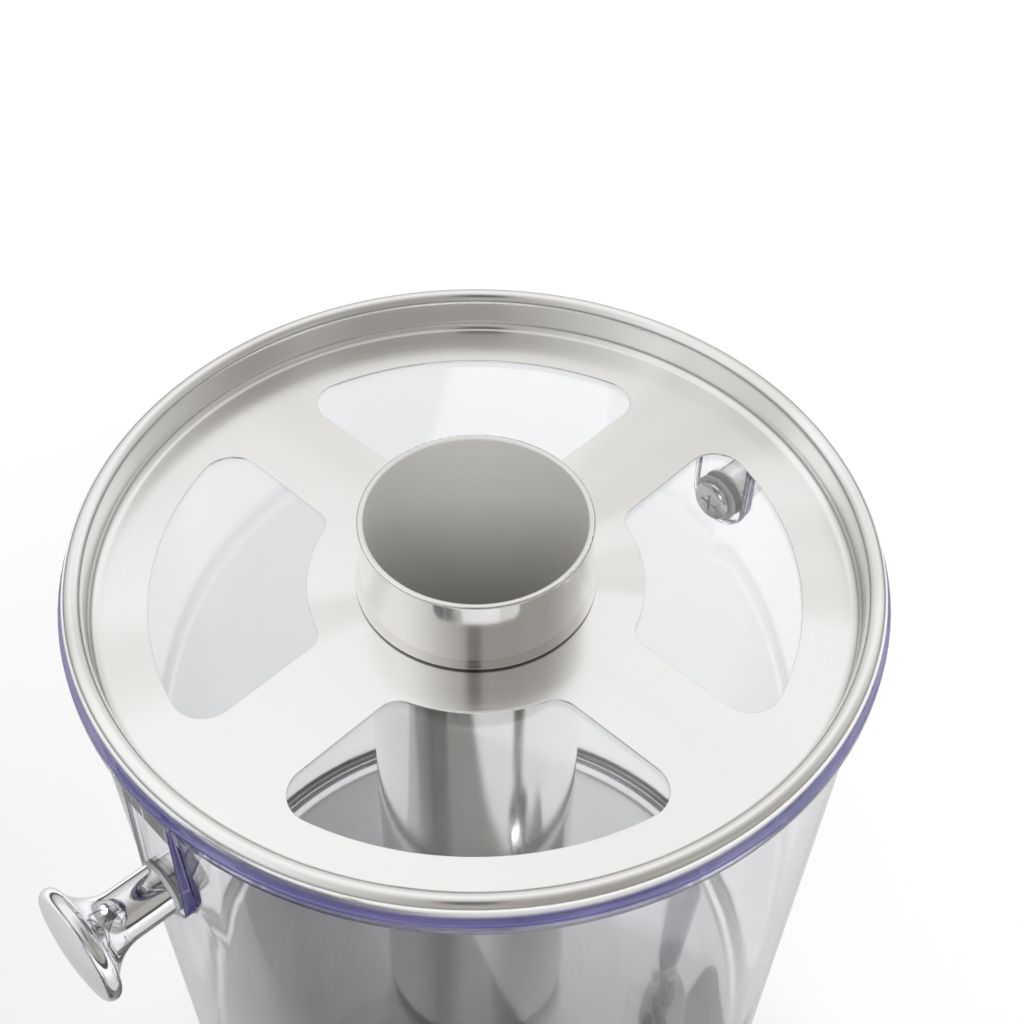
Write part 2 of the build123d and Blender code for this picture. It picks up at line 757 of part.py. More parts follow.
def tap_spring():
    """Coil spring round the stem: a pair of tangent arcs for each quarter turn of the helix."""
    low = disc_z + spring_wire / 2
    high = spigot_bottom - spring_wire / 2
    coil_r = (spring_d - spring_wire) / 2
    rise = (high - low) / (2 * math.pi * spring_turns)

    def at(angle):
        """Point on the helix and its direction there."""
        along = Vector(-coil_r * math.sin(angle), coil_r * math.cos(angle), rise).normalized()
        return Vector(coil_r * math.cos(angle), coil_r * math.sin(angle), low + rise * angle), along

    arcs = []
    for quarter in range(4 * spring_turns):
        start, start_way = at(quarter * math.pi / 2)
        end, end_way = at((quarter + 1) * math.pi / 2)
        chord = end - start
        lean = chord.dot(start_way + end_way)
        spread = 2 * (1 - start_way.dot(end_way))
        reach = (math.sqrt(lean ** 2 + spread * chord.dot(chord)) - lean) / spread
        joint = (start + end + (start_way - end_way) * reach) * 0.5
        joint_way = (end - end_way * reach) - (start + start_way * reach)
        arcs.append(TangentArc(start, joint, tangent=start_way))
        arcs.append(TangentArc(joint, end, tangent=joint_way))
    start, start_way = at(0)
    wire_section = Plane(origin=start, z_dir=start_way) * Circle(spring_wire / 2)
    coil = sweep(wire_section, path=Wire([arc.edge() for arc in arcs]))
    return Pos(*ahead(spout_reach, 0)) * coil


# Drip tray and grille

ledge_z = tray_top - grille_t
tray_bottom = tray_top - tray_depth


def drip_tray():
    """Pressed tray: flat rim on the base, a ledge for the grille and a pan below it."""
    low_length = pan_length - 2 * tray_ledge_w
    low_width = pan_width - 2 * tray_ledge_w
    low_corner_r = pan_corner_r - tray_ledge_w
    wall = 2 * tray_sheet
    body = slab(tray_length, tray_width, tray_corner_r, base_top, tray_top)
    body += slab(pan_length, pan_width, pan_corner_r, ledge_z - tray_sheet, base_top)
    body += slab(low_length, low_width, low_corner_r, tray_bottom, ledge_z - tray_sheet)
    body -= slab(pan_length - wall, pan_width - wall, pan_corner_r - tray_sheet, ledge_z, tray_top)
    pan_floor = tray_bottom + tray_sheet
    body -= slab(low_length - wall, low_width - wall, low_corner_r - tray_sheet, pan_floor, ledge_z)
    return Pos(*ahead(tray_reach, 0)) * body


def drip_grille():
    """Flat plate with a row of slots, lying on the tray's ledge."""
    trim = 2 * (tray_sheet + grille_gap)
    length = pan_length - trim
    width = pan_width - trim
    body = slab(length, width, pan_corner_r - trim / 2, ledge_z, tray_top)
    slot_length = width - 2 * grille_border
    count = int((length - 2 * grille_border - slot_w) / slot_pitch) + 1
    slot = extrude(Pos(0, 0, ledge_z) * SlotOverall(slot_length, slot_w, rotation=90), grille_t)
    for number in range(count):
        body -= Pos((number - (count - 1) / 2) * slot_pitch, 0, 0) * slot
    return Pos(*ahead(tray_reach, 0)) * body


# Both units: every piece is made once about its tank's axis and set in its place

unit_pieces = {
    "pedestal": [pedestal()],
    "pedestal_screws": [pedestal_screw(spot) for spot in screw_places],
    "pedestal_nuts": [pedestal_nut(spot) for spot in screw_places],
    "seat_ring": [seat_ring()],
    "tank": [tank()],
    "knob_washers": knob_washers() + [half_turn * washer for washer in knob_washers()],
    "knob_screws": [knob_screw(), half_turn * knob_screw()],
    "lid": [lid()],
    "lid_pane": [lid_pane()],
    "chill_tube": [chill_tube()],
    "tap_body": [tap_body()],
    "tap_washers": tap_washers(),
    "tap_nut": [tap_nut()],
    "tap_bonnet": [tap_bonnet()],
    "tap_pin": [tap_pin()],
    "tap_lever": [tap_lever()],
    "tap_grip": [tap_grip()],
    "tap_plunger": [tap_plunger()],
    "tap_seal": [tap_seal()],
    "tap_spring": [tap_spring()],
    "drip_tray": [drip_tray()],
    "drip_grille": [drip_grille()],
}
knob_pair = [knob(), half_turn * knob()]
for side, x in units.items():
    place = Pos(x, axis_y, 0)
    outer_knob, inner_knob = knob_pair if x > 0 else reversed(knob_pair)
    save(f"{side}_outer_knob", place * outer_knob)
    save(f"{side}_inner_knob", place * inner_knob)
    for piece_name, solids in unit_pieces.items():
        save(f"{side}_{piece_name}", *[place * solid for solid in solids])
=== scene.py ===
import math

import bmesh
import bpy
import numpy as np
from mathutils import Matrix, Vector


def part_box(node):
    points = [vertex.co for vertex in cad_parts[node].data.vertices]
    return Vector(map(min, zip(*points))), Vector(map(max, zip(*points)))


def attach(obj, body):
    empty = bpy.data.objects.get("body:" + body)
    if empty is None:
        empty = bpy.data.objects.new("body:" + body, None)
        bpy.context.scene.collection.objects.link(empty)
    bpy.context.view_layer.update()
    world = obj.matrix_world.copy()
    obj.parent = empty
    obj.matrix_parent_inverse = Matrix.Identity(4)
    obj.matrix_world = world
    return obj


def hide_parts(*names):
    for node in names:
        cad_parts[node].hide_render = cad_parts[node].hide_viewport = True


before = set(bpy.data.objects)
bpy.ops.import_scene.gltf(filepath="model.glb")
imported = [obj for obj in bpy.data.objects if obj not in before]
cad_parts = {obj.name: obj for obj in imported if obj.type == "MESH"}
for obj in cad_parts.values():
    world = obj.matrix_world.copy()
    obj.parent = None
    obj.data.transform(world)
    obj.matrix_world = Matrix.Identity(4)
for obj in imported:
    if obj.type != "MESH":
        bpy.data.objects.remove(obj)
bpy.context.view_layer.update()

# Base plinth and rails
# One sheet of satin stainless steel, folded down on its four sides and welded at the corners. Two folded
# rails are welded inside the long walls. The mill's fine lines run along the row.


class Wire:
    """A shader socket that takes part in arithmetic: each operator adds one Math node."""

    def __init__(self, graph, socket):
        self.graph = graph
        self.socket = socket

    def math(self, operation, *values):
        """One Math node on the given values."""
        return self.graph.add("ShaderNodeMath", {"operation": operation}, dict(enumerate(values)))

    def pick(self, output):
        """Another output of the same node."""
        return Wire(self.graph, self.socket.node.outputs[output])

    def rise(self, low, high):
        """Smooth step from 0 at the low value to 1 at the high one."""
        smooth = {"interpolation_type": "SMOOTHSTEP"}
        return self.graph.add("ShaderNodeMapRange", smooth, {0: self, 1: low, 2: high})

    def __add__(self, other):
        return self.math("ADD", self, other)

    def __sub__(self, other):
        return self.math("SUBTRACT", self, other)

    def __rsub__(self, other):
        return self.math("SUBTRACT", other, self)

    def __mul__(self, other):
        return self.math("MULTIPLY", self, other)

    __radd__ = __add__
    __rmul__ = __mul__


class Graph:
    """The node tree of a material or of the world, emptied, with one method that adds any node."""

    def __init__(self, owner):
        owner.use_nodes = True
        self.tree = owner.node_tree
        self.tree.nodes.clear()

    def add(self, kind, settings=None, sockets=None, out=0):
        """A node of this kind: settings first, then values or links for sockets, by name or number."""
        node = self.tree.nodes.new(kind)
        for key, value in (settings or {}).items():
            setattr(node, key, value)
        for key, value in (sockets or {}).items():
            if isinstance(value, Wire):
                self.tree.links.new(value.socket, node.inputs[key])
            else:
                node.inputs[key].default_value = value
        return Wire(self, node.outputs[out]) if node.outputs else None

    def mix(self, factor, low, high):
        """Colour between two colours."""
        return self.add("ShaderNodeMix", {"data_type": "RGBA"}, {0: factor, 6: low, 7: high}, out=2)

    def noise(self, place, scale, detail):
        """Noise between 0 and 1 at a place, with this many features to a unit of length."""
        return self.add("ShaderNodeTexNoise", {}, {"Vector": place, "Scale": scale, "Detail": detail})

    def place(self):
        """Object coordinates, in metres."""
        return self.add("ShaderNodeTexCoord", out="Object")

    def bump(self, height, depth):
        """Normal of a relief whose full height is this many metres."""
        return self.add("ShaderNodeBump", {}, {"Height": height, "Distance": depth, "Strength": 1.0})


def colour(red, green, blue):
    """A colour with full alpha."""
    return (red, green, blue, 1.0)


def finish(name, build):
    """A material whose Principled sockets come from build(graph)."""
    material = bpy.data.materials.new(name)
    graph = Graph(material)
    skin = graph.add("ShaderNodeBsdfPrincipled", {}, build(graph))
    graph.add("ShaderNodeOutputMaterial", {}, {"Surface": skin})
    return material


def dress(material, *names):
    """Gives these nodes of the frame one material."""
    for name in names:
        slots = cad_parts[name].data.materials
        slots.clear()
        slots.append(material)


def satin_sheet(graph):
    """Satin steel: noise drawn out along X for the mill's lines, and slow clouds from wiping."""
    stretched = graph.add("ShaderNodeMapping", {}, {"Vector": graph.place(), "Scale": (0.01, 1.0, 1.0)})
    lines = graph.noise(stretched, 2600.0, 3.0)
    clouds = graph.noise(graph.place(), 9.0, 3.0)
    return {
        "Base Color": graph.mix(lines.rise(0.2, 0.8), colour(0.60, 0.595, 0.58), colour(0.70, 0.695, 0.68)),
        "Metallic": 1.0,
        "Roughness": 0.24 + 0.10 * lines + 0.06 * clouds,
        "Normal": graph.bump(lines, 0.00004),
    }


dress(finish("satin_sheet", satin_sheet), "base_plinth", "base_rails")

# Feet and their screws
# Six tapered feet of black rubber, each held by a plain steel screw up through the rail with a hexagonal
# nut on it.


def black_rubber(graph):
    """Moulded rubber: a fine grain, with a grey bloom in slow patches."""
    grain = graph.noise(graph.place(), 1400.0, 4.0)
    bloom = graph.noise(graph.place(), 60.0, 3.0)
    black = graph.mix(bloom.rise(0.35, 0.75), colour(0.022, 0.022, 0.023), colour(0.05, 0.05, 0.05))
    return {
        "Base Color": black,
        "Roughness": 0.62 + 0.2 * grain,
        "Normal": graph.bump(grain, 0.00015),
    }


def plain_steel(graph):
    """Screws and nuts: bright steel with a fine speckle from tumbling."""
    speckle = graph.noise(graph.place(), 900.0, 4.0)
    return {
        "Base Color": graph.mix(speckle, colour(0.50, 0.495, 0.48), colour(0.66, 0.655, 0.64)),
        "Metallic": 1.0,
        "Roughness": 0.20 + 0.16 * speckle,
        "Normal": graph.bump(speckle, 0.00003),
    }


dress(finish("black_rubber", black_rubber), "base_feet")
fastener_steel = finish("plain_steel", plain_steel)
dress(fastener_steel, "foot_screws", "foot_nuts")

# Pedestals
# A spun cup of satin steel under each tank: the spinning tool left fine rings about the tank's axis. Four
# screws from under the base hold it by an inward flange.

sides = ("left", "right")
pedestal_low, pedestal_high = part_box("right_pedestal")
axis_x = (pedestal_low.x + pedestal_high.x) / 2
axis_y = (pedestal_low.y + pedestal_high.y) / 2


class About:
    """Where a point is about the nearer tank's axis; the units mirror each other, so |x| serves both."""

    def __init__(self, graph):
        xyz = graph.add("ShaderNodeSeparateXYZ", {}, {0: graph.place()})
        self.across = xyz.math("ABSOLUTE", xyz.pick("X")) - axis_x
        self.along = xyz.pick("Y") - axis_y
        self.height = xyz.pick("Z")
        self.radius = xyz.math("SQRT", self.across * self.across + self.along * self.along)
        self.turn = xyz.math("ARCTAN2", self.along, self.across)

    def rings(self, graph, scale, wander):
        """Noise in rings round the axis: it follows radius and height, and wanders slowly with the turn."""
        spot = graph.add("ShaderNodeCombineXYZ", {}, {0: self.radius, 1: self.height, 2: self.turn * wander})
        return graph.noise(spot, scale, 3.0)


def spun_steel(graph):
    """Satin steel with rings about the axis and a few slow clouds."""
    lines = About(graph).rings(graph, 2200.0, 0.0006)
    clouds = graph.noise(graph.place(), 14.0, 3.0)
    return {
        "Base Color": graph.mix(lines.rise(0.2, 0.8), colour(0.43, 0.42, 0.41), colour(0.55, 0.54, 0.53)),
        "Metallic": 1.0,
        "Roughness": 0.34 + 0.12 * lines + 0.06 * clouds,
        "Normal": graph.bump(lines, 0.00004),
    }


pedestal_steel = finish("spun_steel", spun_steel)
for side in sides:
    dress(pedestal_steel, f"{side}_pedestal")
    dress(fastener_steel, f"{side}_pedestal_screws", f"{side}_pedestal_nuts")

# Seat rings and the tap's washers and seals
# Soft rings of milky silicone, punched or moulded: one under each tank, two at each tap's shank and a plug
# on each valve.


def milky_silicone(graph):
    """Milky rubber: a soft skin with faint flow marks."""
    flow = graph.noise(graph.place(), 220.0, 3.0)
    return {
        "Base Color": graph.mix(flow, colour(0.70, 0.715, 0.72), colour(0.80, 0.81, 0.815)),
        "Roughness": 0.38 + 0.16 * flow,
        "Normal": graph.bump(flow, 0.00008),
        "Subsurface Weight": 0.25,
        "Subsurface Radius": (0.003, 0.003, 0.003),
    }


silicone = finish("milky_silicone", milky_silicone)
for side in sides:
    dress(silicone, f"{side}_seat_ring", f"{side}_tap_washers", f"{side}_tap_seal")

# Tanks
# Each tank is one clear injection moulding, a drafted wall with a flange round its mouth and flat pads for
# the knobs and the tap. The flange gathers the light that runs in the wall, so its top and edge look violet;
# that light is painted on as an opaque dark violet colour, and so is a thin line round each pad.

rim_low, rim_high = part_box("right_tank")
flange_r = (rim_high.y - rim_low.y) / 2
knob_low, knob_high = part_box("right_outer_knob")
knob_z = (knob_low.z + knob_high.z) / 2
pad_half = 0.011
pad_reach = 0.1085
pad_line = 0.0002
flange_t = 0.004
top_band = 0.0025
top_depth = 0.0010
rim_band = 0.0007
blend = 0.0004
top_share = 0.8
rim_share = 0.25
pad_share = 0.6


def clear_plastic(graph, tint, index):
    """Sockets of clear plastic with this tint and refractive index, and faint swirls in its gloss."""
    swirl = graph.noise(graph.place(), 35.0, 4.0)
    return {
        "Base Color": tint,
        "Roughness": 0.015 + 0.03 * swirl,
        "Transmission Weight": 1.0,
        "IOR": index,
    }


tank_plastic = bpy.data.materials.new("clear_moulding")
graph = Graph(tank_plastic)
about = About(graph)
clear = graph.add("ShaderNodeBsdfPrincipled", {}, clear_plastic(graph, colour(0.965, 0.972, 0.99), 1.585))
drift = graph.noise(graph.place(), 30.0, 2.0)
# Painted edge light: an opaque dark violet that stands in for the light carried in the wall to the flange and
# pad edges.
painted_edge_light = graph.add("ShaderNodeBsdfPrincipled", {}, {
    "Base Color": graph.mix(drift.rise(0.3, 0.7), colour(0.08, 0.075, 0.31), colour(0.17, 0.15, 0.42)),
    "Roughness": 0.2,
})
on_rim = about.radius.rise(flange_r - rim_band, flange_r - rim_band + blend)
on_top = about.radius.rise(flange_r - top_band, flange_r - top_band + blend)
on_top = on_top * about.height.rise(rim_high.z - top_depth, rim_high.z - top_depth + blend)
on_flange = clear.math("MAXIMUM", top_share * on_top, rim_share * on_rim)
below_knob = clear.math("MINIMUM", about.height - knob_z, 0.0)
from_knob = clear.math("SQRT", about.along * about.along + below_knob * below_knob)
off_pad = clear.math("ABSOLUTE", from_knob - pad_half)
beside_axis = clear.math("ABSOLUTE", about.across)
on_pad = (1.0 - off_pad.rise(pad_line, pad_line + blend)) * beside_axis.rise(pad_reach, pad_reach + blend)
on_pad = on_pad * (1.0 - about.height.rise(rim_high.z - flange_t - blend, rim_high.z - flange_t))
# Where the painted violet edge light goes: the flange's top and rim, and a thin line round each knob pad.
edge_light_mask = clear.math("MAXIMUM", on_flange, pad_share * on_pad)
skin = graph.add("ShaderNodeMixShader", {}, {0: edge_light_mask, 1: clear, 2: painted_edge_light})
graph.add("ShaderNodeOutputMaterial", {}, {"Surface": skin})
for side in sides:
    dress(tank_plastic, f"{side}_tank")

# Knobs and their screws
# Two turned and chromed knobs on each tank, to lift it by. A cross-slotted screw from inside holds each one
# through clear washers.


def bright_chrome(graph):
    """Bright plating: nearly a mirror, with a faint unevenness and a few dull wipes."""
    wipes = graph.noise(graph.place(), 45.0, 4.0)
    ripple = graph.noise(graph.place(), 160.0, 1.0)
    return {
        "Base Color": graph.mix(wipes, colour(0.82, 0.82, 0.82), colour(0.90, 0.90, 0.905)),
        "Metallic": 1.0,
        "Roughness": 0.03 + 0.05 * wipes.rise(0.45, 0.8),
        "Normal": graph.bump(ripple, 0.00004),
    }


def polished_screw(graph):
    """Screws with polished heads, a little dark from handling."""
    speckle = graph.noise(graph.place(), 500.0, 3.0)
    return {
        "Base Color": graph.mix(speckle, colour(0.34, 0.33, 0.31), colour(0.46, 0.45, 0.43)),
        "Metallic": 1.0,
        "Roughness": 0.06 + 0.10 * speckle,
        "Normal": graph.bump(speckle, 0.00003),
    }


def frosted_plastic(graph):
    """Clear washers, punched from sheet that is dull on both faces."""
    grain = graph.noise(graph.place(), 600.0, 3.0)
    return {
        "Base Color": graph.mix(grain, colour(0.80, 0.82, 0.85), colour(0.90, 0.91, 0.93)),
        "Roughness": 0.25 + 0.2 * grain,
        "Transmission Weight": 0.35,
        "IOR": 1.5,
    }


chrome = finish("bright_chrome", bright_chrome)
bright_screw = finish("polished_screw", polished_screw)
washer_plastic = finish("frosted_plastic", frosted_plastic)
for side in sides:
    dress(chrome, f"{side}_outer_knob", f"{side}_inner_knob")
    dress(bright_screw, f"{side}_knob_screws")
    dress(washer_plastic, f"{side}_knob_washers")

# Taps
# A chromed casting with its bonnet and lever, a steel pin, stem and spring, and a moulded black grip pushed
# over the lever's bar. A nut on the shank clamps it to the tank's wall.


def black_grip(graph):
    """Moulded plastic with a fine spark-eroded grain, worn smoother in patches."""
    grain = graph.noise(graph.place(), 2200.0, 3.0)
    worn = graph.noise(graph.place(), 50.0, 2.0)
    return {
        "Base Color": graph.mix(worn, colour(0.018, 0.018, 0.02), colour(0.032, 0.032, 0.034)),
        "Roughness": 0.36 + 0.16 * worn,
        "Normal": graph.bump(grain, 0.0001),
    }


grip_plastic = finish("black_grip", black_grip)
for side in sides:
    dress(chrome, f"{side}_tap_body", f"{side}_tap_bonnet", f"{side}_tap_lever", f"{side}_tap_nut")
    dress(fastener_steel, f"{side}_tap_pin", f"{side}_tap_plunger", f"{side}_tap_spring")
    dress(grip_plastic, f"{side}_tap_grip")

# Lids
# A pan pressed from bright stainless sheet, with a rolled rim, four windows and a hole for the tube. It was
# polished on a lathe, so its faint lines run round the axis, and its cut edges are softened.

lid_low, lid_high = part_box("right_lid")
lid_r = (lid_high.x - lid_low.x) / 2
lid_sheet = 0.0008
roll_r = 0.003
pan_corner_r = 0.003
hole_r = 0.0336
window_outer_r = 0.0952
window_inner_r = 0.0496
spoke_half = 0.0147
outer_corner_r = 0.0095
inner_corner_r = 0.007
lid_turn = math.radians(4.0)
soft_edge = 0.00022
field_outer_r = 0.0985
field_inner_r = 0.0352
arc_steps = 96
side_steps = 40
weld_gap = 0.000002
fine_steps = 60
edge_steps = 6
pan_steps = 13
roll_steps = 25
skirt_steps = 9
roll_inside_steps = 17
pan_outside_steps = 11
line_ends = np.array([[0.02], [0.98]])
field_shares = np.array([0.0, 0.012, 0.06, 0.2, 0.45, 0.72, 1.0])
right_angle = math.pi / 2
disc_bottom = lid_low.z
disc_top = disc_bottom + lid_sheet
roll_z = lid_high.z - roll_r
skirt_bottom = rim_high.z
pan_r = lid_r - 2 * roll_r


def arc(centre, radius, start, end, count):
    """Points of a circle's arc between two angles, both ends included."""
    angle = np.linspace(start, end, count)
    return np.stack([centre[0] + radius * np.cos(angle), centre[1] + radius * np.sin(angle)], axis=1)


def guarded(*runs):
    """Runs of points joined by straight lines, with a point close to each end of every line."""
    points = [np.asarray(runs[0], dtype=float)]
    for run in runs[1:]:
        run = np.asarray(run, dtype=float)
        start, end = points[-1][-1], run[0]
        points += [start + (end - start) * line_ends, run]
    return np.concatenate(points)


def evenly(path, steps):
    """The same path with points at equal distances."""
    far = np.concatenate([[0.0], np.cumsum(np.hypot(*np.diff(path, axis=0).T))])
    at = np.linspace(0.0, far[-1], steps + 1)
    return np.stack([np.interp(at, far, path[:, 0]), np.interp(at, far, path[:, 1])], axis=1)


def mirrored(path):
    """The path reflected in the line x = y and run backwards."""
    return path[::-1, ::-1]


def loop(*runs):
    """Closed loop of runs that share their end points; the first point comes again at the end."""
    return np.concatenate([run[:-1] for run in runs] + [runs[0][:1]])


def window_loop():
    """Window between the lines x and y = half a spoke and two circles, with a round arc in each corner."""
    outer_reach, inner_reach = window_outer_r - outer_corner_r, window_inner_r + inner_corner_r
    outer_y, inner_y = spoke_half + outer_corner_r, spoke_half + inner_corner_r
    outer_centre = (math.sqrt(outer_reach ** 2 - outer_y ** 2), outer_y)
    inner_centre = (math.sqrt(inner_reach ** 2 - inner_y ** 2), inner_y)
    outer_turn, inner_turn = math.atan2(outer_y, outer_centre[0]), math.atan2(inner_y, inner_centre[0])
    outer_mid = (outer_turn - right_angle) / 2
    inner_mid = (inner_turn + 5 * right_angle) / 2
    outer_half = np.concatenate([
        arc(outer_centre, outer_corner_r, outer_mid, outer_turn, fine_steps),
        arc((0.0, 0.0), window_outer_r, outer_turn, right_angle / 2, fine_steps)[1:],
    ])
    inner_half = np.concatenate([
        arc((0.0, 0.0), window_inner_r, right_angle / 2, inner_turn, fine_steps),
        arc(inner_centre, inner_corner_r, inner_turn + 2 * right_angle, inner_mid, fine_steps)[1:],
    ])
    low_side = np.concatenate([
        arc(inner_centre, inner_corner_r, inner_mid, 3 * right_angle, fine_steps),
        arc(outer_centre, outer_corner_r, -right_angle, outer_mid, fine_steps),
    ])
    return loop(
        evenly(np.concatenate([outer_half, mirrored(outer_half)[1:]]), arc_steps),
        evenly(mirrored(low_side), side_steps),
        evenly(np.concatenate([mirrored(inner_half), inner_half[1:]]), arc_steps),
        evenly(low_side, side_steps),
    )


def field_loop():
    """Border of a quarter of the disc, with as many points on each side as the window has."""
    low_side = np.array([[field_inner_r, 0.0], [field_outer_r, 0.0]])
    return loop(
        arc((0.0, 0.0), field_outer_r, 0.0, right_angle, arc_steps + 1),
        evenly(mirrored(low_side), side_steps),
        arc((0.0, 0.0), field_inner_r, right_angle, 0.0, arc_steps + 1),
        evenly(low_side, side_steps),
    )


def quarter_field():
    """Quarter of the disc as a grid: round the window, and from the top over the cut edge to the bottom."""
    window, border = window_loop(), field_loop()
    ahead = np.roll(window[:-1], -1, axis=0) - np.roll(window[:-1], 1, axis=0)
    ahead = np.concatenate([ahead, ahead[:1]]) / np.hypot(*np.concatenate([ahead, ahead[:1]]).T)[:, None]
    outward = np.stack([ahead[:, 1], -ahead[:, 0]], axis=1)
    lip = window + outward * soft_edge
    flat = lip + (border - lip) * field_shares[:, None, None]
    bend = np.linspace(right_angle, 0.0, edge_steps)[1:]
    cut = window + outward * (soft_edge * (1 - np.cos(bend)))[:, None, None]
    drop = soft_edge * (1 - np.sin(bend))
    across = np.concatenate([flat[::-1], cut, cut[::-1], flat])
    top, bottom = np.full(len(flat), disc_top), np.full(len(flat), disc_bottom)
    heights = np.concatenate([top, disc_top - drop, disc_bottom + drop[::-1], bottom])
    heights = np.broadcast_to(heights[:, None, None], across.shape[:2] + (1,))
    return np.concatenate([across, heights], axis=2)


def revolved(section):
    """A section of radius and height carried round the axis, in step with the quarters of the disc."""
    turn = np.linspace(0.0, 4 * right_angle, 4 * arc_steps + 1)[:, None]
    radius, height = section[:, 0], section[:, 1]
    return np.stack([radius * np.cos(turn), radius * np.sin(turn), height + 0 * turn], axis=2)


def turned(grid, angle):
    """The grid turned about the vertical axis."""
    cosine, sine = math.cos(angle), math.sin(angle)
    return grid @ np.array([[cosine, sine, 0.0], [-sine, cosine, 0.0], [0.0, 0.0, 1.0]])


def surface(name, grids):
    """One mesh of four-sided faces from grids of points, welded where the grids meet, faces outward."""
    points, faces, first = [], [], 0
    for grid in grids:
        index = first + np.arange(grid.shape[0] * grid.shape[1]).reshape(grid.shape[:2])
        corners = [index[:-1, :-1], index[1:, :-1], index[1:, 1:], index[:-1, 1:]]
        faces.append(np.stack(corners, axis=2).reshape(-1, 4))
        points.append(grid.reshape(-1, 3))
        first += index.size
    mesh = bpy.data.meshes.new(name)
    mesh.from_pydata(np.concatenate(points).tolist(), [], np.concatenate(faces).tolist())
    body = bmesh.new()
    body.from_mesh(mesh)
    bmesh.ops.remove_doubles(body, verts=body.verts, dist=weld_gap)
    bmesh.ops.recalc_face_normals(body, faces=body.faces)
    body.to_mesh(mesh)
    body.free()
    mesh.polygons.foreach_set("use_smooth", np.ones(len(mesh.polygons), dtype=bool))
    made = bpy.data.objects.new(name, mesh)
    bpy.context.scene.collection.objects.link(made)
    return made


pan_centre = (pan_r - pan_corner_r, disc_top + pan_corner_r)
roll_centre = (pan_r + roll_r, roll_z)
skirt_centre = (lid_r - lid_sheet / 2, skirt_bottom + lid_sheet / 2)
rim_section = guarded(
    [[field_outer_r, disc_top]],
    arc(pan_centre, pan_corner_r, -right_angle, 0.0, pan_steps),
    arc(roll_centre, roll_r, 2 * right_angle, 0.0, roll_steps),
    arc(skirt_centre, lid_sheet / 2, 0.0, -2 * right_angle, skirt_steps),
    arc(roll_centre, roll_r - lid_sheet, 0.0, 2 * right_angle, roll_inside_steps),
    arc(pan_centre, pan_corner_r + lid_sheet, 0.0, -right_angle, pan_outside_steps),
    [[field_outer_r, disc_bottom]],
)
upper_centre = (hole_r + soft_edge, disc_top - soft_edge)
lower_centre = (hole_r + soft_edge, disc_bottom + soft_edge)
hole_section = guarded(
    [[field_inner_r, disc_top]],
    arc(upper_centre, soft_edge, right_angle, 2 * right_angle, edge_steps),
    arc(lower_centre, soft_edge, 2 * right_angle, 3 * right_angle, edge_steps),
    [[field_inner_r, disc_bottom]],
)
lid_grids = [revolved(rim_section), revolved(hole_section)]
lid_grids += [turned(quarter_field(), quarter * right_angle) for quarter in range(4)]


def polished_lid(graph):
    """Polished steel: rings from the lathe, painted dark reflection fans about the axis, and slow smears from
    wiping.
    """
    about = About(graph)
    lines = about.rings(graph, 1500.0, 0.0008)
    smears = graph.noise(graph.place(), 22.0, 4.0)
    # Painted reflection: slow fans round the axis darken the base colour, in place of the dark fans a
    # lathe-polished disc reflects.
    around = {0: lines.math("COSINE", about.turn), 1: lines.math("SINE", about.turn)}
    painted_fans = graph.noise(graph.add("ShaderNodeCombineXYZ", {}, around), 1.7, 1.0)
    bright = graph.mix(lines, colour(0.89, 0.885, 0.873), colour(0.93, 0.927, 0.918))
    return {
        "Base Color": graph.mix(0.7 * painted_fans.rise(0.50, 0.68), bright, colour(0.75, 0.74, 0.715)),
        "Metallic": 1.0,
        "Roughness": 0.13 + 0.05 * lines + 0.05 * smears,
        "Anisotropic": 0.8,
        "Anisotropic Rotation": 0.25,
        "Normal": graph.bump(lines, 0.000006),
    }


lid_steel = finish("polished_lid", polished_lid)
for side, x in zip(sides, (-axis_x, axis_x)):
    placed = [turned(grid, lid_turn) + (x, axis_y, 0.0) for grid in lid_grids]
    lid_shape = surface(f"{side}_lid_sheet", placed)
    lid_shape.data.materials.append(lid_steel)
    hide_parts(f"{side}_lid")
    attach(lid_shape, f"{side}_lid")

# Lid panes
# A thin clear plate bonded under each lid closes its windows.

pane_plastic = finish("clear_plate", lambda graph: clear_plastic(graph, colour(0.885, 0.892, 0.892), 1.49))
for side in sides:
    dress(pane_plastic, f"{side}_lid_pane")

# Chill tubes
# A steel tube closed below hangs in each lid by its polished collar. Its bore is left dull from drawing.

bore_r = 0.0322
bore_blend = 0.0004
bore_rough = 0.45
contact_shadow_low = -0.0001
contact_shadow_high = 0.0006
contact_shadow_blend = 0.0003


def polished_tube(graph):
    """Polished steel with faint turning lines, dull in the bore, with a painted contact shadow where the
    collar meets the lid.
    """
    about = About(graph)
    lines = about.rings(graph, 1800.0, 0.0006)
    smears = graph.noise(graph.place(), 26.0, 4.0)
    outside = about.radius.rise(bore_r, bore_r + bore_blend)
    polish = 0.06 + 0.05 * lines + 0.04 * smears
    above_lid = about.height - disc_top
    # Painted contact shadow: a thin near-black band on the tube's outside, at the lid's top face, where the
    # collar meets the lid.
    painted_contact_shadow = outside * above_lid.rise(contact_shadow_low - contact_shadow_blend, contact_shadow_low)
    painted_contact_shadow = painted_contact_shadow * (1.0 - above_lid.rise(contact_shadow_high, contact_shadow_high + contact_shadow_blend))
    bright = graph.mix(lines, colour(0.80, 0.785, 0.765), colour(0.87, 0.86, 0.84))
    return {
        "Base Color": graph.mix(painted_contact_shadow, bright, colour(0.10, 0.095, 0.09)),
        "Metallic": 0.3 + 0.7 * outside,
        "Roughness": bore_rough + outside * (polish - bore_rough),
        "Normal": graph.bump(lines, 0.000006),
    }


tube_steel = finish("polished_tube", polished_tube)
for side in sides:
    dress(tube_steel, f"{side}_chill_tube")

# Drip trays and grilles
# A pressed steel tray let into the base under each tap, and a slotted plate that lies in it.


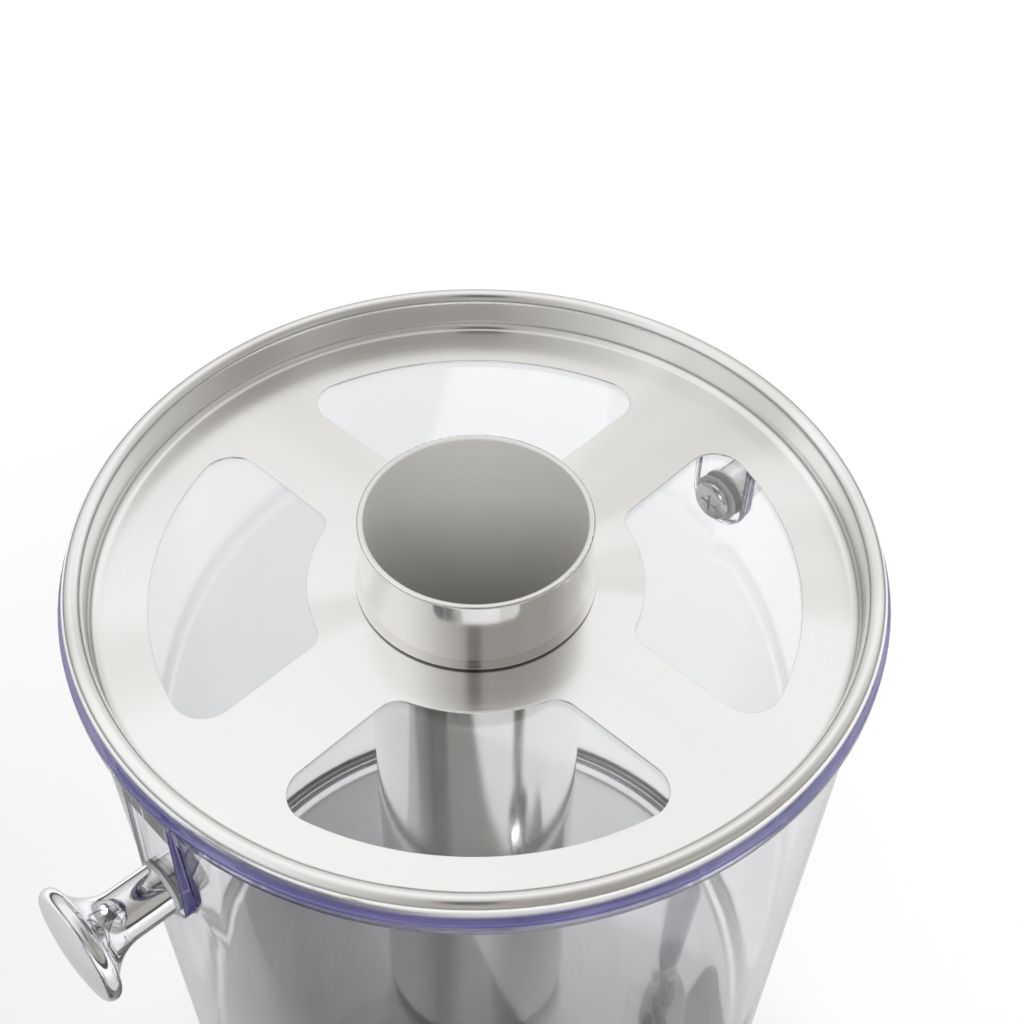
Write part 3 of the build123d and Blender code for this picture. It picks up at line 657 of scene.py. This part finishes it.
def tray_steel(graph):
    """Satin steel with lines along the row, and dull water marks."""
    stretched = graph.add("ShaderNodeMapping", {}, {"Vector": graph.place(), "Scale": (0.015, 1.0, 1.0)})
    lines = graph.noise(stretched, 2400.0, 3.0)
    marks = graph.noise(graph.place(), 55.0, 4.0)
    return {
        "Base Color": graph.mix(lines, colour(0.58, 0.58, 0.57), colour(0.70, 0.695, 0.68)),
        "Metallic": 1.0,
        "Roughness": 0.22 + 0.10 * lines + 0.12 * marks.rise(0.5, 0.7),
        "Normal": graph.bump(lines, 0.00003),
    }


tray_finish = finish("tray_steel", tray_steel)
for side in sides:
    dress(tray_finish, f"{side}_drip_tray", f"{side}_drip_grille")

# Camera
# It stands above the right tank, on the side of the taps, and looks down on the lid.

sensor_mm = 36.0
lens_mm = 60.82
row_turn = math.radians(44.0)
pitch = math.radians(46.576)
yaw = math.radians(-0.858)
roll = math.radians(1.098)
stand_right = 0.01515
stand_back = 0.33478
stand_up = 0.36847

lid_top = Vector((axis_x, axis_y, lid_high.z))
picture_axes = Matrix((
    (math.cos(row_turn), math.sin(row_turn), 0.0),
    (-math.sin(row_turn), math.cos(row_turn), 0.0),
    (0.0, 0.0, 1.0),
))
look = Vector((math.sin(yaw) * math.cos(pitch), math.cos(yaw) * math.cos(pitch), -math.sin(pitch)))
level = Vector((math.cos(yaw), -math.sin(yaw), 0.0))
upright = level.cross(look)
camera_x = picture_axes @ (math.cos(roll) * level + math.sin(roll) * upright)
camera_y = picture_axes @ (math.cos(roll) * upright - math.sin(roll) * level)
camera_z = picture_axes @ -look
camera_data = bpy.data.cameras.new("camera")
camera_data.sensor_width = sensor_mm
camera_data.lens = lens_mm
camera_data.clip_start = 0.01
camera = bpy.data.objects.new("camera", camera_data)
bpy.context.scene.collection.objects.link(camera)
turn = Matrix((camera_x, camera_y, camera_z)).transposed().to_4x4()
stand = lid_top + picture_axes @ Vector((stand_right, -stand_back, stand_up))
camera.matrix_world = Matrix.Translation(stand) @ turn
bpy.context.scene.camera = camera

# Floor, surroundings and lamps
# A pale floor and pale surroundings, dimmer on the side where the camera stands, with two soft lamps. Metal
# also shows a dark band at the horizon and a dimmer floor near by, which give the chrome its lines. The floor
# is partly lit from within, so it is white where nothing stands and keeps the object's shadow.

floor_half = 6.0
floor_glow = 0.50
glow_level = 1.55
near_reach = 0.35
far_reach = 1.5
floor_mesh = bpy.data.meshes.new("floor")
floor_signs = ((-1, -1), (1, -1), (1, 1), (-1, 1))
floor_corners = [(x * floor_half, y * floor_half, 0.0) for x, y in floor_signs]
floor_mesh.from_pydata(floor_corners, [], [(0, 1, 2, 3)])
floor = bpy.data.objects.new("floor", floor_mesh)
bpy.context.scene.collection.objects.link(floor)


def seen_ray(graph):
    """1 for a ray that shows the surroundings: straight, in a mirror or through a clear wall."""
    path = graph.add("ShaderNodeLightPath", out="Is Camera Ray")
    both = path.math("MAXIMUM", path, path.pick("Is Glossy Ray"))
    return path.math("MAXIMUM", both, path.pick("Is Transmission Ray"))


def metal_ray(graph):
    """1 for a ray that metal mirrors, 0 for one that came through a clear wall."""
    path = graph.add("ShaderNodeLightPath", out="Is Glossy Ray")
    return path * (1.0 - path.pick("Is Transmission Ray"))


floor_paint = bpy.data.materials.new("floor_paint")
graph = Graph(floor_paint)
matt = graph.add("ShaderNodeBsdfDiffuse", {}, {"Color": colour(0.82, 0.82, 0.82)})
away = graph.add("ShaderNodeVectorMath", {"operation": "LENGTH"}, {0: graph.place()}, out="Value")
near_tone = graph.mix(metal_ray(graph), colour(0.80, 0.80, 0.80), colour(0.45, 0.45, 0.45))
floor_tone = graph.mix(away.rise(near_reach, far_reach), near_tone, colour(1.0, 1.0, 1.0))
glow = graph.add("ShaderNodeEmission", {}, {"Color": floor_tone, "Strength": glow_level})
floor_shader = graph.add("ShaderNodeMixShader", {}, {0: seen_ray(graph) * floor_glow, 1: matt, 2: glow})
graph.add("ShaderNodeOutputMaterial", {}, {"Surface": floor_shader})
floor_mesh.materials.append(floor_paint)

ambient = 0.55
white = colour(1.0, 1.0, 1.0)
low_tone = colour(0.22, 0.215, 0.21)
dim_tone = colour(0.36, 0.34, 0.32)
far_tone = colour(0.78, 0.77, 0.75)
cloud_tone = colour(0.60, 0.59, 0.57)
post_tone = colour(0.09, 0.085, 0.08)
horizon_tone = colour(0.05, 0.05, 0.05)
dim_side = picture_axes @ Vector((0.56, -0.66, 0.50))
far_side = picture_axes @ Vector((0.0, 0.90, 0.43))
picture_right = picture_axes @ Vector((1.0, 0.0, 0.0))
picture_front = picture_axes @ Vector((0.0, -1.0, 0.0))
world = bpy.data.worlds.new("surroundings")
bpy.context.scene.world = world
graph = Graph(world)
direction = graph.add("ShaderNodeTexCoord", out="Generated")


def toward(aim):
    """Cosine of the angle between a ray and a direction."""
    dot = {"operation": "DOT_PRODUCT"}
    return graph.add("ShaderNodeVectorMath", dot, {0: direction, 1: aim}, out="Value")


aside = toward(picture_right)
level_rise = toward(Vector((0.0, 0.0, 1.0)))
post = (1.0 - aside.math("ABSOLUTE", aside).rise(0.05, 0.10)) * level_rise.rise(0.74, 0.775)
post = post * toward(picture_front).rise(0.1, 0.3)
shown = graph.mix(0.7 * (1.0 - level_rise.rise(0.15, 0.55)), white, low_tone)
shown = graph.mix(toward(dim_side).rise(0.05, 0.95), shown, dim_tone)
shown = graph.mix(toward(far_side).rise(0.86, 1.0), shown, far_tone)
clouds = graph.noise(direction, 1.3, 1.0)
shown = graph.mix(0.5 * clouds.rise(0.48, 0.66), shown, cloud_tone)
shown = graph.mix(post, shown, post_tone)
horizon = metal_ray(graph) * level_rise.rise(-0.06, -0.02) * (1.0 - level_rise.rise(0.10, 0.16))
shown = graph.mix(0.85 * horizon, shown, horizon_tone)
fill = graph.add("ShaderNodeBackground", {}, {"Color": white, "Strength": ambient})
backdrop = graph.add("ShaderNodeBackground", {}, {"Color": shown, "Strength": 1.0})
plain = graph.add("ShaderNodeBackground", {}, {"Color": white, "Strength": 1.0})
sky = graph.add("ShaderNodeMixShader", {}, {0: seen_ray(graph), 1: fill, 2: backdrop})
straight_ray = graph.add("ShaderNodeLightPath", out="Is Camera Ray")
sky = graph.add("ShaderNodeMixShader", {}, {0: straight_ray, 1: sky, 2: plain})
graph.add("ShaderNodeOutputWorld", {}, {"Surface": sky})


def lamp(name, place, size, power):
    """A square soft lamp that faces the middle of the object."""
    data = bpy.data.lights.new(name, "AREA")
    data.size = size
    data.energy = power
    made = bpy.data.objects.new(name, data)
    bpy.context.scene.collection.objects.link(made)
    aim = Vector((0.0, 0.0, lid_high.z / 2)) - Vector(place)
    made.rotation_euler = aim.to_track_quat("-Z", "Y").to_euler()
    made.location = place
    made.visible_glossy = False


lamp("key_lamp", (-1.4, -1.7, 2.2), 1.6, 40.0)
lamp("fill_lamp", (1.9, 0.9, 2.0), 1.6, 18.0)

bpy.context.scene.view_settings.view_transform = "Standard"
